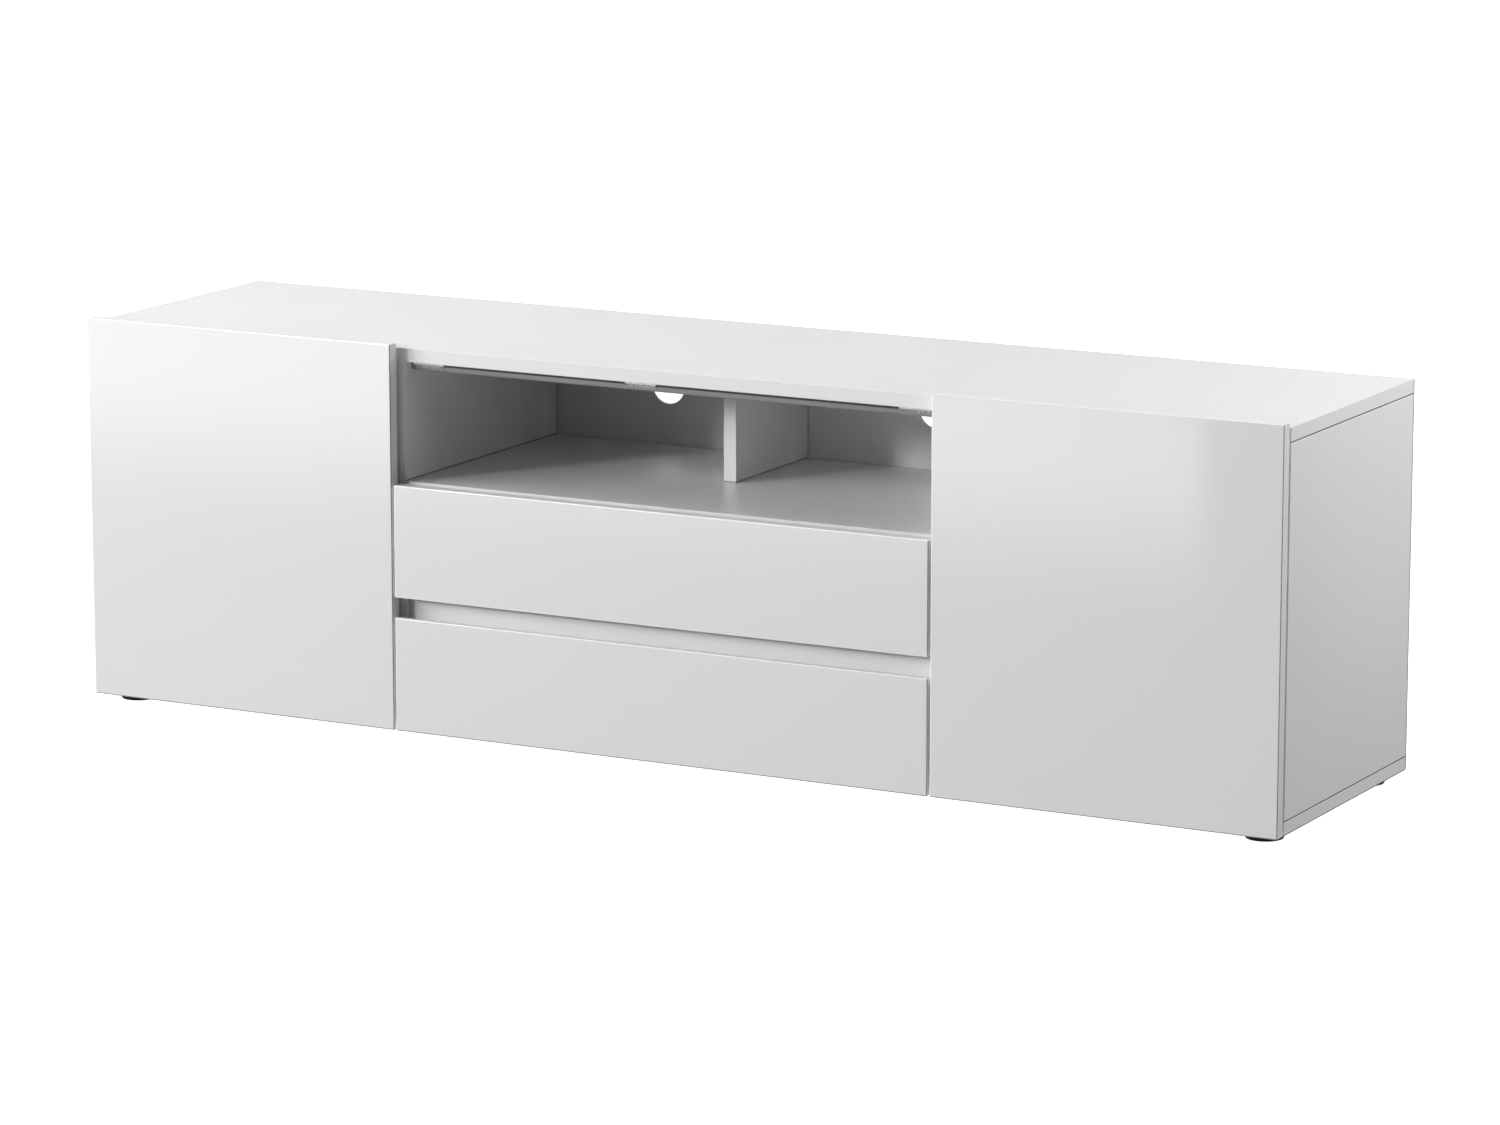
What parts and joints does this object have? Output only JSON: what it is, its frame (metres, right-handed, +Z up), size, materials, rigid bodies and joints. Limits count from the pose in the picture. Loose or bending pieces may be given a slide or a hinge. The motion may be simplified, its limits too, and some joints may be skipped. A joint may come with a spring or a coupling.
{
  "type": "tv stand",
  "caption": "Low white TV stand: a cupboard with a gloss hinged door at each end, an open divided niche over handleless drawers in the middle, and black disc feet.",
  "frame": {"origin": "on the floor, under the middle of the overall width and depth", "axes": "+Z up, front faces -Y, +X to the right seen from the front"},
  "size_m": [1.53, 0.374, 0.464],
  "materials": {
    "white_laminate": "satin melamine laminate with fine texture",
    "gloss_lacquer": "high-gloss white lacquer on fibreboard",
    "drawer_laminate": "satin melamine laminate",
    "hardboard": "white-faced hardboard",
    "beech": "bare turned beech",
    "cast_zinc": "die-cast zinc",
    "zinc_steel": "bright zinc plating",
    "nickel_steel": "nickel plating",
    "black_plastic": "moulded black plastic",
    "grey_plastic": "moulded grey plastic",
    "white_plastic": "extruded white plastic",
    "rail_aluminium": "anodised extrusion",
    "frosted_plastic": "frosted light diffuser",
    "light_board": "flexible circuit strip"
  },
  "bodies": {
    "carcass": {"back_joiner": "white_plastic", "back_left": "hardboard", "back_nails": "zinc_steel", "back_right": "hardboard", "bottom_panel": "white_laminate", "cabinet_runners": "zinc_steel", "cam_bolts": "zinc_steel", "cam_locks": "cast_zinc", "cross_rail": "white_laminate", "dowels": "beech", "feet": "black_plastic", "foot_screws": "zinc_steel", "hinge_arms": "nickel_steel", "hinge_plates": "nickel_steel", "latch_housings": "grey_plastic", "left_divider": "white_laminate", "left_shelf": "white_laminate", "left_side": "white_laminate", "light_clips": "nickel_steel", "light_diffuser": "frosted_plastic", "light_end_caps": "white_plastic", "light_rail": "rail_aluminium", "light_strip": "light_board", "niche_partition": "white_laminate", "niche_shelf": "white_laminate", "panel_screws": "zinc_steel", "right_divider": "white_laminate", "right_shelf": "white_laminate", "right_side": "white_laminate", "shelf_pegs": "nickel_steel", "top_panel": "white_laminate"},
    "left_leaf": {"left_door": "gloss_lacquer", "left_hinge_cups": "nickel_steel", "left_hinge_pins": "nickel_steel", "left_cup_screws": "zinc_steel", "left_strike_plate": "nickel_steel"},
    "right_leaf": {"right_door": "gloss_lacquer", "right_hinge_cups": "nickel_steel", "right_hinge_pins": "nickel_steel", "right_cup_screws": "zinc_steel", "right_strike_plate": "nickel_steel"},
    "left_plunger": {"left_latch_plunger": "grey_plastic"},
    "right_plunger": {"right_latch_plunger": "grey_plastic"},
    "upper_drawer": {"upper_drawer_front": "gloss_lacquer", "upper_drawer_sides": "drawer_laminate", "upper_drawer_back": "drawer_laminate", "upper_drawer_bottom": "hardboard", "upper_drawer_cams": "cast_zinc", "upper_drawer_screws": "zinc_steel", "upper_drawer_members": "zinc_steel"},
    "lower_drawer": {"lower_drawer_front": "gloss_lacquer", "lower_drawer_sides": "drawer_laminate", "lower_drawer_back": "drawer_laminate", "lower_drawer_bottom": "hardboard", "lower_drawer_cams": "cast_zinc", "lower_drawer_screws": "zinc_steel", "lower_drawer_members": "zinc_steel"},
    "upper_runner_middles": {"upper_drawer_intermediates": "zinc_steel"},
    "lower_runner_middles": {"lower_drawer_intermediates": "zinc_steel"}
  },
  "joints": [
    {"name": "left_door_hinge", "type": "hinge", "parent": "carcass", "child": "left_leaf", "pos_m": [-0.757, -0.1785, 0.237], "axis": [0, 0, -1], "range_deg": [0, 95]},
    {"name": "right_door_hinge", "type": "hinge", "parent": "carcass", "child": "right_leaf", "pos_m": [0.757, -0.1785, 0.237], "axis": [0, 0, 1], "range_deg": [0, 95]},
    {"name": "upper_drawer_slide", "type": "slide", "parent": "carcass", "child": "upper_drawer", "axis": [0, -1, 0], "range_m": [0, 0.3]},
    {"name": "upper_runner_slide", "type": "slide", "parent": "carcass", "child": "upper_runner_middles", "axis": [0, -1, 0], "range_m": [0, 0.15]},
    {"name": "lower_drawer_slide", "type": "slide", "parent": "carcass", "child": "lower_drawer", "axis": [0, -1, 0], "range_m": [0, 0.3]},
    {"name": "lower_runner_slide", "type": "slide", "parent": "carcass", "child": "lower_runner_middles", "axis": [0, -1, 0], "range_m": [0, 0.15]},
    {"name": "left_latch_push", "type": "slide", "parent": "carcass", "child": "left_plunger", "axis": [0, 1, 0], "range_m": [0, 0.003], "stiffness_N_per_m": 300, "springref_m": -0.002},
    {"name": "right_latch_push", "type": "slide", "parent": "carcass", "child": "right_plunger", "axis": [0, 1, 0], "range_m": [0, 0.003], "stiffness_N_per_m": 300, "springref_m": -0.002}
  ],
  "couplings": [
    {"joint": "upper_runner_slide", "follows": "upper_drawer_slide", "ratio": 0.5},
    {"joint": "lower_runner_slide", "follows": "lower_drawer_slide", "ratio": 0.5}
  ]
}
